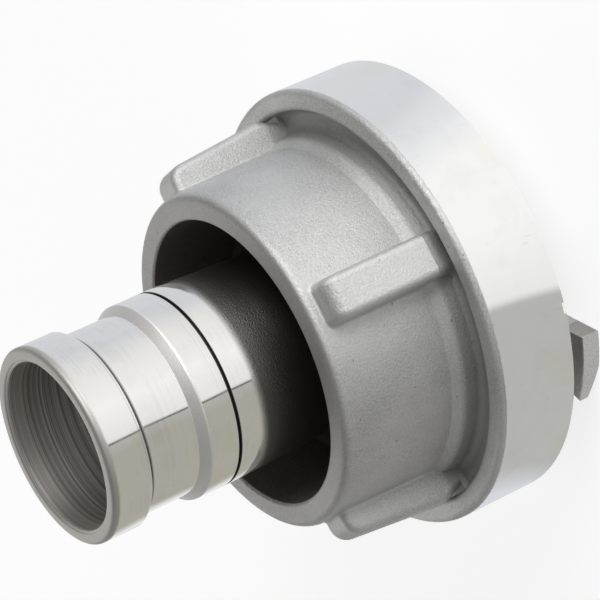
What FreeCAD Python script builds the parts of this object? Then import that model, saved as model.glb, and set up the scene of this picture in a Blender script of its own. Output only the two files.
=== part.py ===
"""Quarter turn fire hose coupling with a hose tail, standing on its two lugs.

Lengths are millimetres. +Z runs along the waterway from the lug tips up to the hose end.
The origin is the middle of the plane that the two lug tips stand on, and the lugs lie on X.
"""
import FreeCAD
import Part
import Sketcher
import math
import os

PARTS_FOLDER = "parts"

# Driving sizes: one named cell each, with what it measures.
DRIVING_SIZES = [
    # Coupling face: what the other half has to meet
    ("lug_inner_radius", 44.5, "half the distance between the inner faces of the lugs"),
    ("lug_neck_wall", 6.5, "radial thickness of a lug's neck"),
    ("hook_overhang", 7.0, "how far a hook stands out past the neck"),
    ("hook_thickness", 5.3, "thickness of a hook along the axis"),
    ("lug_reach", 12.2, "lug tip to the rim's front face"),
    ("lug_sweep", 21.0, "angle that a lug covers"),
    ("lead_in_depth", 2.6, "how much the leading end of a hook is cut back"),
    ("lead_in_length", 10.0, "length of that sloped cut"),
    ("neck_gap", 1.0, "gap between a passing neck and the ledge"),
    ("hook_gap", 0.7, "gap between a passing hook and the cavity wall"),
    ("hook_end_gap", 1.0, "gap between a passing hook and the cavity floor"),
    ("ledge_entry", 5.4, "ledge thickness where a hook enters"),
    ("ledge_rise", 1.0, "how much thicker the ledge gets along its ramp"),
    ("ramp_sweep", 110.0, "angle that the ramp covers"),
    ("ramp_inset", 0.4, "ramp's inner edge outside the ledge's inner edge"),
    ("window_play", 7.0, "angle that an entry window is wider than a lug"),
    ("window_offset", 1.5, "angle between a lug and its window"),
    # Lug ring: machined band, cast back and skirt
    ("rim_wall", 4.3, "wall of the machined band outside the cavity"),
    ("rim_length", 23.0, "length of the machined band"),
    ("rim_chamfer", 0.6, "chamfer on the front edge of the band"),
    ("lip_rise", 2.0, "height of the cast lip behind the band"),
    ("lip_width", 5.6, "radial width of that lip"),
    ("lip_round", 1.8, "rounding of the lip"),
    ("channel_depth", 3.4, "depth of the cast channel below the lip"),
    ("channel_draft", 1.0, "how much each wall of the channel leans in"),
    ("channel_round", 2.0, "rounding at the foot of the channel"),
    ("root_step", 1.8, "how much thicker the wall is at the root of the skirt"),
    ("root_height", 2.0, "height of the thick root above the lip"),
    ("root_slope", 2.8, "length of the slope from root to skirt"),
    ("root_round", 4.0, "rounding of the root's edge, where that slope starts"),
    ("skirt_length", 63.8, "rim's front face to the end of the skirt"),
    ("skirt_draft", 0.7, "how much wider the skirt is at its root"),
    ("skirt_wall", 7.2, "wall at the skirt's end"),
    ("skirt_bore_draft", 0.4, "how much narrower the skirt is inside at its shoulder"),
    ("skirt_end_round", 2.4, "outer rounding of the skirt's end"),
    ("skirt_mouth_round", 0.9, "inner rounding of the skirt's end"),
    ("rib_count", 4.0, "ribs round the skirt"),
    ("rib_turn", 48.5, "angle from a lug to the first rib"),
    ("rib_width", 12.0, "width of a rib"),
    ("rib_setback", 4.0, "skirt's end to the end of a rib"),
    ("rib_embed", 1.5, "how deep a rib's foot is sunk in the skirt's wall"),
    ("rib_height", 6.8, "height of a rib's crest over the skirt's end"),
    ("rib_rise", 2.8, "how much higher its crest is at its lip end"),
    ("rib_start_height", 2.0, "height of that end above the root"),
    ("rib_lean", 2.2, "how much that end leans in towards the lip"),
    ("rib_notch_depth", 1.8, "depth of the notch between a rib and the lip"),
    ("rib_end_round", 5.0, "rounding of a rib's crest at the skirt's end"),
    ("rib_round", 2.2, "rounding of a rib's other edges"),
    ("rib_foot_round", 1.0, "rounding where a rib meets the skirt"),
    ("notch_turn", 23.0, "angle from a lug to the notch in the rim's front edge"),
    ("notch_width", 3.0, "width of that notch"),
    ("notch_depth", 1.1, "depth of that notch"),
    # Swivel between the lug ring and the hose tail
    ("journal_clearance", 0.08, "radial running clearance of that journal"),
    ("swivel_gap", 0.3, "gap between faces that pass each other"),
    ("shoulder_length", 8.0, "length of the lug ring's inner shoulder"),
    ("pocket_inset", 0.5, "how far the collar's pocket lies inside the lugs' inner faces"),
    ("collar_gap", 0.4, "gap round the collar in its pocket"),
    ("collar_setback", 1.5, "rim's front face to the collar's front face"),
    ("collar_length", 23.1, "length of the front collar"),
    ("collar_step", 5.6, "height of the collar over the journal"),
    ("collar_chamfer", 0.8, "chamfer on the collar's front edge"),
    # Snap ring
    ("snap_thickness", 2.5, "thickness of the snap ring along the axis"),
    ("snap_width", 2.4, "radial width of the snap ring"),
    ("snap_groove_depth", 0.9, "depth of its groove in the tail"),
    ("snap_seat_clearance", 0.05, "radial gap between the ring and the groove's floor"),
    ("snap_room", 1.05, "radial room between the ring and the skirt's mouth"),
    ("snap_opening", 20.0, "angle of the ring's split"),
    ("snap_land", 2.3, "land behind the groove"),
    ("snap_turn", 235.0, "angle from a lug to the middle of the split"),
    # Hose tail
    ("tail_length", 122.0, "rim's front face to the end of the hose tail"),
    ("bore_radius", 23.6, "radius of the waterway in the hose tail"),
    ("mouth_wall", 2.5, "wall between the seal's groove and the waterway's mouth"),
    ("mouth_length", 36.8, "rim's front face to where the waterway starts to narrow"),
    ("bore_start", 46.7, "rim's front face to where the narrow bore starts"),
    ("mouth_round", 5.0, "rounding at both ends of the narrowing"),
    ("bore_chamfer", 0.8, "chamfer at the hose end of the bore"),
    ("shank_wall", 2.8, "wall of the tube inside the skirt"),
    ("shank_start", 49.6, "rim's front face to where that tube starts"),
    ("flare_round", 5.0, "rounding between the tube and the flare"),
    ("bead_wall", 4.0, "wall of the tube at the beads that hold the hose"),
    ("end_bead_length", 11.6, "length of the bead at the hose end"),
    ("end_round", 1.3, "rounding of the tail's end"),
    ("step_wall", 2.7, "wall of the tube at the fine step beside the end bead"),
    ("step_length", 1.0, "length of that step"),
    ("neck_wall", 1.9, "wall of the tube at the neck between the beads"),
    ("neck_length", 14.5, "length of the neck"),
    ("bead_slope", 3.3, "length of the slope up to the inner bead"),
    ("inner_bead_length", 8.7, "inner bead from the slope to its groove"),
    ("marker_width", 1.5, "width of the groove beside the inner bead"),
    ("marker_depth", 1.3, "depth of that groove"),
    ("bead_tail_length", 3.4, "inner bead behind its groove"),
    # Seal
    ("seal_outer_wall", 2.2, "wall of the collar outside the seal's groove"),
    ("seal_groove_width", 5.4, "width of the seal's groove"),
    ("seal_groove_depth", 7.0, "depth of the seal's groove"),
    ("seal_side_clearance", 0.1, "gap between the seal's sides and its groove"),
    ("seal_stand", 0.8, "how far the seal stands out past the rim's front face"),
    ("seal_lip_reach", 1.4, "how far the seal's lip leans in over the waterway"),
    ("seal_lip_gap", 0.3, "gap under that lip"),
    ("seal_bevel", 1.6, "bevel on the seal's outer front edge"),
    ("seal_round", 0.5, "rounding of the seal's front face"),
]


class Size:
    """A length or angle with its present value and the formula that keeps it up to date."""

    def __init__(self, value, formula):
        self.value = value
        self.formula = formula

    def joined(self, other, sign, value):
        return Size(value, "(%s %s %s)" % (self.formula, sign, other.formula))

    def __add__(self, other):
        other = as_size(other)
        return self.joined(other, "+", self.value + other.value)

    def __sub__(self, other):
        other = as_size(other)
        return self.joined(other, "-", self.value - other.value)

    def __mul__(self, other):
        other = as_size(other)
        return self.joined(other, "*", self.value * other.value)

    def __truediv__(self, other):
        other = as_size(other)
        return self.joined(other, "/", self.value / other.value)

    def sine(self):
        """The sine of an angle in degrees."""
        return Size(math.sin(math.radians(self.value)), "sin(%s)" % self.formula)


def as_size(number):
    """Wrap a plain number, so that it can stand in a formula."""
    if isinstance(number, Size):
        return number
    return Size(float(number), repr(float(number)))


class SizeSheet:
    """The spreadsheet of driving sizes, with a Size for each of its names."""

    def __init__(self, doc):
        self.sheet = doc.addObject("Spreadsheet::Sheet", "Sizes")
        for row, (name, value, note) in enumerate(DRIVING_SIZES, start=1):
            self.sheet.set("A%d" % row, str(value))
            self.sheet.setAlias("A%d" % row, name)
            self.sheet.set("B%d" % row, note)
        doc.recompute()

    def __getattr__(self, name):
        return Size(float(self.sheet.get(name)), "Sizes." + name)


class Stations:
    """Radii and heights that more than one piece or feature shares, worked out once."""

    def __init__(self, s):
        # Radii, from the lugs outwards and inwards
        self.lug_neck_radius = s.lug_inner_radius + s.lug_neck_wall
        self.hook_radius = self.lug_neck_radius + s.hook_overhang
        self.ledge_radius = self.lug_neck_radius + s.neck_gap
        self.cavity_radius = self.hook_radius + s.hook_gap
        self.rim_radius = self.cavity_radius + s.rim_wall
        self.lip_inner_radius = self.rim_radius - s.lip_width
        self.pocket_radius = s.lug_inner_radius - s.pocket_inset
        self.collar_radius = self.pocket_radius - s.collar_gap
        self.seal_outer_radius = self.collar_radius - s.seal_outer_wall
        self.seal_inner_radius = self.seal_outer_radius - s.seal_groove_width
        self.mouth_radius = self.seal_inner_radius - s.mouth_wall
        self.journal_radius = self.collar_radius - s.collar_step
        self.snap_floor_radius = self.journal_radius - s.snap_groove_depth
        self.snap_inner_radius = self.snap_floor_radius + s.snap_seat_clearance
        self.snap_outer_radius = self.snap_inner_radius + s.snap_width
        self.skirt_bore = self.snap_outer_radius + s.snap_room
        self.skirt_radius = self.skirt_bore + s.skirt_wall
        self.skirt_root_radius = self.skirt_radius + s.skirt_draft
        self.root_radius = self.skirt_root_radius + s.root_step
        self.rib_low_radius = self.skirt_radius + s.rib_height
        self.rib_high_radius = self.rib_low_radius + s.rib_rise

        # Heights over the plane of the lug tips
        self.front = s.lug_reach
        self.cavity_floor = self.front + s.lug_reach + s.hook_end_gap
        self.band_end = self.front + s.rim_length
        self.lip_top = self.band_end + s.lip_rise
        self.channel_floor = self.lip_top - s.channel_depth
        self.root_top = self.lip_top + s.root_height
        self.slope_top = self.root_top + s.root_slope
        self.skirt_end = self.front + s.skirt_length
        self.rib_end = self.skirt_end - s.rib_setback
        self.rib_start = self.root_top + s.rib_start_height
        self.rib_notch = self.lip_top - s.rib_notch_depth
        self.collar_front = self.front + s.collar_setback
        self.collar_back = self.collar_front + s.collar_length
        self.shoulder_front = self.collar_back + s.swivel_gap
        self.shoulder_back = self.shoulder_front + s.shoulder_length
        self.snap_front = self.shoulder_back + s.swivel_gap
        self.snap_back = self.snap_front + s.snap_thickness

        # Angles of an entry window and of the ramp that starts beside it
        self.window_sweep = s.lug_sweep + s.window_play
        self.window_turn = s.lug_sweep / 2 + s.window_offset + self.window_sweep / 2
        self.ramp_turn = self.window_turn + self.window_sweep / 2
        self.tail_end = self.front + s.tail_length


def origin_feature(body, role):
    """One of a body's own origin planes or axes, found by its role."""
    for feature in body.Origin.OriginFeatures:
        if feature.Role == role:
            return feature
    raise ValueError("no origin feature with the role " + role)


def new_body(doc, name):
    body = doc.addObject("PartDesign::Body", name)
    body.Label = name
    body.Placement = FreeCAD.Placement()
    return body


def sketch_through(body, name, corners, plane="XZ_Plane", turn=None):
    """A closed outline through corners of (distance from the axis, height).

    Its plane holds the axis, and turn swings it round the axis, from X towards Y.
    """
    sketch = body.newObject("Sketcher::SketchObject", name)
    sketch.AttachmentSupport = [(origin_feature(body, plane), "")]
    sketch.MapMode = "FlatFace"
    if turn is not None:
        swing = FreeCAD.Rotation(FreeCAD.Vector(0, 1, 0), turn.value)
        sketch.AttachmentOffset = FreeCAD.Placement(FreeCAD.Vector(), swing)
        sketch.setExpression("AttachmentOffset.Rotation.Angle", turn.formula)
    corners = [(as_size(across), as_size(up)) for across, up in corners]
    points = [FreeCAD.Vector(across.value, up.value, 0) for across, up in corners]
    count = len(points)
    for index in range(count):
        after = (index + 1) % count
        sketch.addGeometry(Part.LineSegment(points[index], points[after]))
    for index in range(count):
        after = (index + 1) % count
        sketch.addConstraint(Sketcher.Constraint("Coincident", index, 2, after, 1))
    for index, (across, up) in enumerate(corners):
        tie_corner(sketch, "DistanceX", index, across)
        tie_corner(sketch, "DistanceY", index, up)
    return sketch


def tie_corner(sketch, direction, index, size):
    """Hold the start of a line at its distance from the sketch's origin."""
    if size.value == 0.0:
        across_axis = -1 if direction == "DistanceY" else -2
        sketch.addConstraint(Sketcher.Constraint("PointOnObject", index, 1, across_axis))
        return
    number = sketch.addConstraint(Sketcher.Constraint(direction, -1, 1, index, 1, size.value))
    sketch.setExpression("Constraints[%d]" % number, size.formula)


def turned(body, kind, name, sketch, sweep=None):
    """Turn a section round the axis, all the way or over a sweep centred on its plane."""
    feature = body.newObject(kind, name)
    feature.Refine = False
    feature.Profile = sketch
    feature.ReferenceAxis = (sketch, ["V_Axis"])
    feature.Angle = 360.0
    if sweep is not None:
        feature.Midplane = True
        feature.Angle = sweep.value
        feature.setExpression("Angle", sweep.formula)
    sketch.Visibility = False
    return feature


def slab(body, kind, name, sketch, width, both_ways=True):
    """Pad or pocket a section by a width."""
    feature = body.newObject(kind, name)
    feature.Refine = False
    feature.Profile = sketch
    feature.Length = width.value
    feature.setExpression("Length", width.formula)
    if both_ways:
        feature.Midplane = True
    sketch.Visibility = False
    return feature


def repeated(doc, body, name, features, count):
    """Repeat features evenly round the axis."""
    pattern = body.newObject("PartDesign::PolarPattern", name)
    pattern.Refine = False
    pattern.Originals = features
    pattern.Axis = (origin_feature(body, "Z_Axis"), [""])
    pattern.Angle = 360.0
    pattern.Occurrences = int(round(count.value))
    pattern.setExpression("Occurrences", count.formula)
    body.Tip = pattern
    doc.recompute()
    return pattern


def ring_edges(shape, rings):
    """Names of the whole circles at each (radius, height)."""
    names = []
    for number, edge in enumerate(shape.Edges, start=1):
        if edge.Degenerated or edge.Curve.TypeId != "Part::GeomCircle":
            continue
        for radius, height in rings:
            same_radius = abs(edge.Curve.Radius - radius.value) < 1e-4
            same_height = abs(edge.Curve.Center.z - height.value) < 1e-4
            if same_radius and same_height:
                names.append("Edge%d" % number)
    return names


def rounded(doc, body, name, base, edges, radius):
    """Round named edges of the body's last feature."""
    if not edges:
        raise ValueError("no edges to round for " + name)
    fillet = body.newObject("PartDesign::Fillet", name)
    fillet.Refine = False
    fillet.Base = (base, edges)
    fillet.Radius = radius.value
    fillet.setExpression("Radius", radius.formula)
    body.Tip = fillet
    doc.recompute()
    return fillet


def rounded_rings(doc, body, name, base, rings, radius):
    return rounded(doc, body, name, base, ring_edges(base.Shape, rings), radius)


def rib_edges(shape, s, at, crest_line, ends_only):
    """Names of the edges of all the ribs that lie on a line of (radius, height) corners.

    They are the edges along the line at both sides, or with ends_only those across its first
    corner.
    """
    half_width = s.rib_width.value / 2
    count = int(round(s.rib_count.value))
    names = []
    for number, edge in enumerate(shape.Edges, start=1):
        if edge.Degenerated:
            continue
        middle = edge.valueAt((edge.FirstParameter + edge.LastParameter) / 2)
        for index in range(count):
            turn = math.radians(s.rib_turn.value + index * 360.0 / count)
            out = middle.x * math.cos(turn) + middle.y * math.sin(turn)
            side = middle.y * math.cos(turn) - middle.x * math.sin(turn)
            if out < at.skirt_radius.value / 2:
                continue
            first_out, first_up = crest_line[0]
            across = math.hypot(out - first_out.value, middle.z - first_up.value) < 1e-3
            if ends_only and across and abs(side) < 1e-3:
                names.append("Edge%d" % number)
            on_side = abs(abs(side) - half_width) < 1e-3
            if not ends_only and on_side and near_line(out, middle.z, crest_line):
                names.append("Edge%d" % number)
    return names


def near_line(out, up, corners):
    """Whether a point lies on one of the straight stretches between corners."""
    for (out_a, up_a), (out_b, up_b) in zip(corners, corners[1:]):
        length = math.hypot(out_b.value - out_a.value, up_b.value - up_a.value)
        along_out = (out_b.value - out_a.value) / length
        along_up = (up_b.value - up_a.value) / length
        across = (out - out_a.value) * along_up - (up - up_a.value) * along_out
        along = (out - out_a.value) * along_out + (up - up_a.value) * along_up
        if abs(across) < 1e-3 and 0 < along < length:
            return True
    return False


def rib_foot_edges(shape, s, at):
    """Names of the edges where the sides and ends of the ribs meet the skirt."""
    half_width = s.rib_width.value / 2
    count = int(round(s.rib_count.value))
    slope = s.skirt_draft.value / (at.skirt_end.value - at.slope_top.value)
    names = []
    for number, edge in enumerate(shape.Edges, start=1):
        if edge.Degenerated:
            continue
        middle = edge.valueAt((edge.FirstParameter + edge.LastParameter) / 2)
        skirt = at.skirt_radius.value + slope * (at.skirt_end.value - middle.z)
        on_skirt = abs(math.hypot(middle.x, middle.y) - skirt) < 1e-2
        if not on_skirt or middle.z < at.slope_top.value:
            continue
        for index in range(count):
            turn = math.radians(s.rib_turn.value + index * 360.0 / count)
            out = middle.x * math.cos(turn) + middle.y * math.sin(turn)
            side = middle.y * math.cos(turn) - middle.x * math.sin(turn)
            if out > 0 and abs(side) < half_width + 1e-3:
                names.append("Edge%d" % number)
    return names


def make_lug_ring(doc, s, at):
    """The coupling head: one casting, machined at its band, its cavity and its bores."""
    body = new_body(doc, "lug_ring")
    shoulder_radius = at.journal_radius + s.journal_clearance
    skirt_bore_root = at.skirt_bore - s.skirt_bore_draft
    channel_outer = at.lip_inner_radius - s.channel_draft
    channel_inner = at.root_radius + s.channel_draft
    ledge_back = at.front + s.ledge_entry

    section = sketch_through(body, "head_section", [
        (at.ledge_radius, at.front),
        (at.rim_radius - s.rim_chamfer, at.front),
        (at.rim_radius, at.front + s.rim_chamfer),
        (at.rim_radius, at.lip_top),
        (at.lip_inner_radius, at.lip_top),
        (channel_outer, at.channel_floor),
        (channel_inner, at.channel_floor),
        (at.root_radius, at.root_top),
        (at.skirt_root_radius, at.slope_top),
        (at.skirt_radius, at.skirt_end),
        (at.skirt_bore, at.skirt_end),
        (skirt_bore_root, at.shoulder_back),
        (shoulder_radius, at.shoulder_back),
        (shoulder_radius, at.shoulder_front),
        (at.pocket_radius, at.shoulder_front),
        (at.pocket_radius, at.cavity_floor),
        (at.cavity_radius, at.cavity_floor),
        (at.cavity_radius, ledge_back),
        (at.ledge_radius, ledge_back),
    ])
    turned(body, "PartDesign::Revolution", "head_casting", section)
    doc.recompute()

    # Ribs: from inside the skirt's wall out to a sloping crest, with an end that leans in
    # towards the lip and a notch between the two
    rib_foot_radius = at.skirt_radius - s.rib_embed
    rib_base = at.channel_floor - s.rib_embed
    rib_notch_radius = at.rib_high_radius - s.rib_lean
    rib_inside_radius = at.lip_inner_radius + s.rib_embed
    crest_line = [
        (at.rib_low_radius, at.rib_end),
        (at.rib_high_radius, at.rib_start),
        (rib_notch_radius, at.rib_notch),
    ]
    rib_section = sketch_through(
        body, "rib_section",
        [(rib_foot_radius, at.rib_end)] + crest_line + [
            (rib_inside_radius, at.rib_notch),
            (rib_inside_radius, rib_base),
            (rib_foot_radius, rib_base),
        ], turn=s.rib_turn)
    rib = slab(body, "PartDesign::Pad", "rib", rib_section, s.rib_width)
    ribs = repeated(doc, body, "ribs", [rib], s.rib_count)
    ends = rounded(doc, body, "rib_end_rounds", ribs,
                   rib_edges(ribs.Shape, s, at, crest_line, True), s.rib_end_round)
    ribs_done = rounded(doc, body, "rib_rounds", ends,
                        rib_edges(ends.Shape, s, at, crest_line, False), s.rib_round)

    # Rounded edges of the casting
    last = rounded_rings(doc, body, "lip_rounds", ribs_done, [
        (at.rim_radius, at.lip_top), (at.lip_inner_radius, at.lip_top)], s.lip_round)
    last = rounded_rings(doc, body, "channel_rounds", last, [
        (channel_outer, at.channel_floor), (channel_inner, at.channel_floor)], s.channel_round)
    last = rounded_rings(doc, body, "root_rounding", last, [
        (at.root_radius, at.root_top)], s.root_round)
    last = rounded_rings(doc, body, "skirt_end_rounding", last, [
        (at.skirt_radius, at.skirt_end)], s.skirt_end_round)
    last = rounded_rings(doc, body, "skirt_mouth_rounding", last, [
        (at.skirt_bore, at.skirt_end)], s.skirt_mouth_round)
    rounded(doc, body, "rib_foot_rounds", last, rib_foot_edges(last.Shape, s, at),
            s.rib_foot_round)

    # Lugs: a neck and an outward hook, with a slope on the end that leads when it tightens
    lug_root = at.cavity_floor + s.hook_end_gap
    lug_section = sketch_through(body, "lug_section", [
        (s.lug_inner_radius, 0.0),
        (at.hook_radius, 0.0),
        (at.hook_radius, s.hook_thickness),
        (at.lug_neck_radius, s.hook_thickness),
        (at.lug_neck_radius, lug_root),
        (s.lug_inner_radius, lug_root),
    ])
    lug = turned(body, "PartDesign::Revolution", "lug", lug_section, s.lug_sweep)
    half_chord = at.hook_radius * (s.lug_sweep / 2).sine()
    slope_reach = half_chord + s.hook_gap
    slope_depth = s.lead_in_depth * (s.lead_in_length + s.hook_gap) / s.lead_in_length
    lead_in_section = sketch_through(body, "lead_in_section", [
        (half_chord - s.lead_in_length, 0.0),
        (slope_reach, 0.0),
        (slope_reach, slope_depth),
    ], plane="YZ_Plane", turn=as_size(180.0))
    lead_in = slab(body, "PartDesign::Pocket", "lead_in", lead_in_section,
                   at.hook_radius + s.hook_gap, both_ways=False)
    repeated(doc, body, "lugs", [lug, lead_in], as_size(2.0))

    # Entry windows, each cut through the ledge beside a lug
    window_section = sketch_through(body, "window_section", [
        (at.lug_neck_radius, at.front - s.hook_gap),
        (at.cavity_radius, at.front - s.hook_gap),
        (at.cavity_radius, ledge_back + s.hook_gap),
        (at.lug_neck_radius, ledge_back + s.hook_gap),
    ], turn=at.window_turn)
    window = turned(body, "PartDesign::Groove", "window", window_section, at.window_sweep)
    repeated(doc, body, "windows", [window], as_size(2.0))

    # Ramps behind the ledge: they thicken it from each window on, and pull the hooks in
    ramp_section = sketch_through(body, "ramp_section", [
        (at.ledge_radius + s.ramp_inset, ledge_back - s.ledge_rise),
        (at.cavity_radius + s.ramp_inset, ledge_back - s.ledge_rise),
        (at.cavity_radius + s.ramp_inset, ledge_back),
        (at.ledge_radius + s.ramp_inset, ledge_back),
    ], turn=at.ramp_turn)
    ramp = body.newObject("PartDesign::AdditiveHelix", "ramp")
    ramp.Refine = False
    ramp.Profile = ramp_section
    ramp.ReferenceAxis = (ramp_section, ["V_Axis"])
    ramp.Mode = 2
    ramp.Height = s.ledge_rise.value
    ramp.setExpression("Height", s.ledge_rise.formula)
    ramp.Turns = s.ramp_sweep.value / 360
    ramp.setExpression("Turns", (s.ramp_sweep / 360).formula)
    ramp_section.Visibility = False
    repeated(doc, body, "ramps", [ramp], as_size(2.0))

    # Small notches in the rim's front edge, at the windows
    notch_section = sketch_through(body, "notch_section", [
        (at.cavity_radius - s.hook_gap, at.front - s.hook_gap),
        (at.rim_radius + s.hook_gap, at.front - s.hook_gap),
        (at.rim_radius + s.hook_gap, at.front + s.notch_depth),
        (at.cavity_radius - s.hook_gap, at.front + s.notch_depth),
    ], turn=s.notch_turn)
    notch = slab(body, "PartDesign::Pocket", "notch", notch_section, s.notch_width)
    repeated(doc, body, "notches", [notch], as_size(2.0))
    return body


def make_hose_tail(doc, s, at):
    """The turned hose tail: front collar, journal, flare and the beaded tube for the hose."""
    body = new_body(doc, "hose_tail")
    groove_floor = at.collar_front + s.seal_groove_depth
    flare_start = at.snap_back + s.snap_land
    tube_start = at.front + s.shank_start
    end_bead = at.tail_end - s.end_bead_length
    step = end_bead - s.step_length
    neck = step - s.neck_length
    slope = neck - s.bead_slope
    marker_end = slope - s.inner_bead_length
    marker_start = marker_end - s.marker_width
    bead_start = marker_start - s.bead_tail_length
    shank_radius = s.bore_radius + s.shank_wall
    bead_radius = s.bore_radius + s.bead_wall
    step_radius = s.bore_radius + s.step_wall
    neck_radius = s.bore_radius + s.neck_wall
    marker_floor = bead_radius - s.marker_depth

    section = sketch_through(body, "tail_section", [
        (at.mouth_radius, at.collar_front),
        (at.seal_inner_radius, at.collar_front),
        (at.seal_inner_radius, groove_floor),
        (at.seal_outer_radius, groove_floor),
        (at.seal_outer_radius, at.collar_front),
        (at.collar_radius - s.collar_chamfer, at.collar_front),
        (at.collar_radius, at.collar_front + s.collar_chamfer),
        (at.collar_radius, at.collar_back),
        (at.journal_radius, at.collar_back),
        (at.journal_radius, at.snap_front),
        (at.snap_floor_radius, at.snap_front),
        (at.snap_floor_radius, at.snap_back),
        (at.journal_radius, at.snap_back),
        (at.journal_radius, flare_start),
        (shank_radius, tube_start),
        (bead_radius, bead_start),
        (bead_radius, marker_start),
        (marker_floor, marker_start),
        (marker_floor, marker_end),
        (bead_radius, marker_end),
        (bead_radius, slope),
        (neck_radius, neck),
        (neck_radius, step),
        (step_radius, step),
        (step_radius, end_bead),
        (bead_radius, end_bead),
        (bead_radius, at.tail_end),
        (s.bore_radius + s.bore_chamfer, at.tail_end),
        (s.bore_radius, at.tail_end - s.bore_chamfer),
        (s.bore_radius, at.front + s.bore_start),
        (at.mouth_radius, at.front + s.mouth_length),
    ])
    turned(body, "PartDesign::Revolution", "tail_turning", section)
    doc.recompute()
    last = rounded_rings(doc, body, "end_rounding", body.Tip, [
        (bead_radius, at.tail_end)], s.end_round)
    last = rounded_rings(doc, body, "flare_rounding", last, [
        (shank_radius, tube_start)], s.flare_round)
    rounded_rings(doc, body, "mouth_rounding", last, [
        (s.bore_radius, at.front + s.bore_start),
        (at.mouth_radius, at.front + s.mouth_length)], s.mouth_round)
    return body


def make_snap_ring(doc, s, at):
    """The split steel ring that keeps the lug ring on the tail."""
    body = new_body(doc, "snap_ring")
    section = sketch_through(body, "snap_section", [
        (at.snap_inner_radius, at.snap_front),
        (at.snap_outer_radius, at.snap_front),
        (at.snap_outer_radius, at.snap_back),
        (at.snap_inner_radius, at.snap_back),
    ], turn=s.snap_turn + 180)
    turned(body, "PartDesign::Revolution", "snap_wire", section,
           as_size(360.0) - s.snap_opening)
    doc.recompute()
    return body


def make_lip_seal(doc, s, at):
    """The rubber seal in the collar's face, with a lip that leans in over the waterway."""
    body = new_body(doc, "lip_seal")
    inner = at.seal_inner_radius + s.seal_side_clearance
    outer = at.seal_outer_radius - s.seal_side_clearance
    floor = at.collar_front + s.seal_groove_depth
    lip_back = at.collar_front - s.seal_lip_gap
    lip_front = at.front - s.seal_stand
    lip_edge = inner - s.seal_lip_reach
    section = sketch_through(body, "seal_section", [
        (inner, floor),
        (outer, floor),
        (outer, lip_back),
        (outer - s.seal_bevel, lip_front),
        (lip_edge, lip_front),
        (lip_edge, lip_back),
        (inner, lip_back),
    ])
    turned(body, "PartDesign::Revolution", "seal_moulding", section)
    doc.recompute()
    rounded_rings(doc, body, "seal_rounds", body.Tip, [
        (outer - s.seal_bevel, lip_front), (lip_edge, lip_front)], s.seal_round)
    return body


def check_document(doc, bodies):
    """Stop if anything failed to compute or if a piece is not one sound solid."""
    for item in doc.Objects:
        if "Invalid" in item.State or "Error" in item.State:
            raise RuntimeError("%s did not compute: %s" % (item.Name, item.State))
    for body in bodies:
        shape = body.Shape
        if shape.isNull() or not shape.isValid():
            raise RuntimeError(body.Label + " has no valid shape")
        if len(shape.Solids) != 1:
            raise RuntimeError("%s has %d solids" % (body.Label, len(shape.Solids)))


def main():
    doc = FreeCAD.newDocument("fire_hose_coupling")
    sizes = SizeSheet(doc)
    stations = Stations(sizes)
    bodies = [
        make_lug_ring(doc, sizes, stations),
        make_hose_tail(doc, sizes, stations),
        make_snap_ring(doc, sizes, stations),
        make_lip_seal(doc, sizes, stations),
    ]
    doc.recompute()
    check_document(doc, bodies)
    os.makedirs(PARTS_FOLDER, exist_ok=True)
    for body in bodies:
        body.Shape.exportStep("%s/%s.step" % (PARTS_FOLDER, body.Label))
        box = body.Shape.BoundBox
        print("%s: volume %.0f mm3, z %.2f to %.2f, width %.2f"
              % (body.Label, body.Shape.Volume, box.ZMin, box.ZMax, box.XLength))


main()
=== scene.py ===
"""Quarter turn fire hose coupling: the finished look of each piece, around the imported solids.

Lengths in the settings are metres. +Z runs along the waterway, from the lug tips to the hose end.
"""
import math

import bmesh
import bpy
from mathutils import Matrix, Vector


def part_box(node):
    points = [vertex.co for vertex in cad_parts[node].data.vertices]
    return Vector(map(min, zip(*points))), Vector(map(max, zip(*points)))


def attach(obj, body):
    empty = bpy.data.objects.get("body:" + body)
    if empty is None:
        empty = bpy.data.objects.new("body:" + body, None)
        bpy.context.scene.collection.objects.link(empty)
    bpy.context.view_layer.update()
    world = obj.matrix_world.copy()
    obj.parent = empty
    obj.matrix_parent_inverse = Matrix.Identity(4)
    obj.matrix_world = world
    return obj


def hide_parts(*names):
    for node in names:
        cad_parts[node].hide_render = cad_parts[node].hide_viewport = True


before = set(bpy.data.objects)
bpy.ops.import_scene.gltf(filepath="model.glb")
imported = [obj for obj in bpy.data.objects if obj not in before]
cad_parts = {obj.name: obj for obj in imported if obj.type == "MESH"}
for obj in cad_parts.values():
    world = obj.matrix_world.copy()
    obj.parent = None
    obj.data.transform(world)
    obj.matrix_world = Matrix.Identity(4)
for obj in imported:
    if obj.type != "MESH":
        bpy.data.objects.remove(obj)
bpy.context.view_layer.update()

bl_info = {
    "name": "Fire hose coupling",
    "version": (1, 0, 0),
    "blender": (4, 5, 0),
    "location": "View3D > Sidebar > Coupling",
    "description": "Models a quarter turn fire hose coupling and gives its pieces their finishes",
    "category": "Object",
}

MM = 0.001
BEYOND = 1.0         # a length past the whole coupling, for zones that are open at one side
RING_STEPS = 224     # points round a turned piece
TAIL_LOW, TAIL_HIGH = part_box("hose_tail")

# Node settings that several materials use
SMOOTH = {"interpolation_type": "SMOOTHSTEP"}
PRODUCT = {"operation": "MULTIPLY"}
LARGER = {"operation": "MAXIMUM"}
COLOURS = {"data_type": "RGBA"}
VALUES = {"data_type": "FLOAT"}

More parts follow.
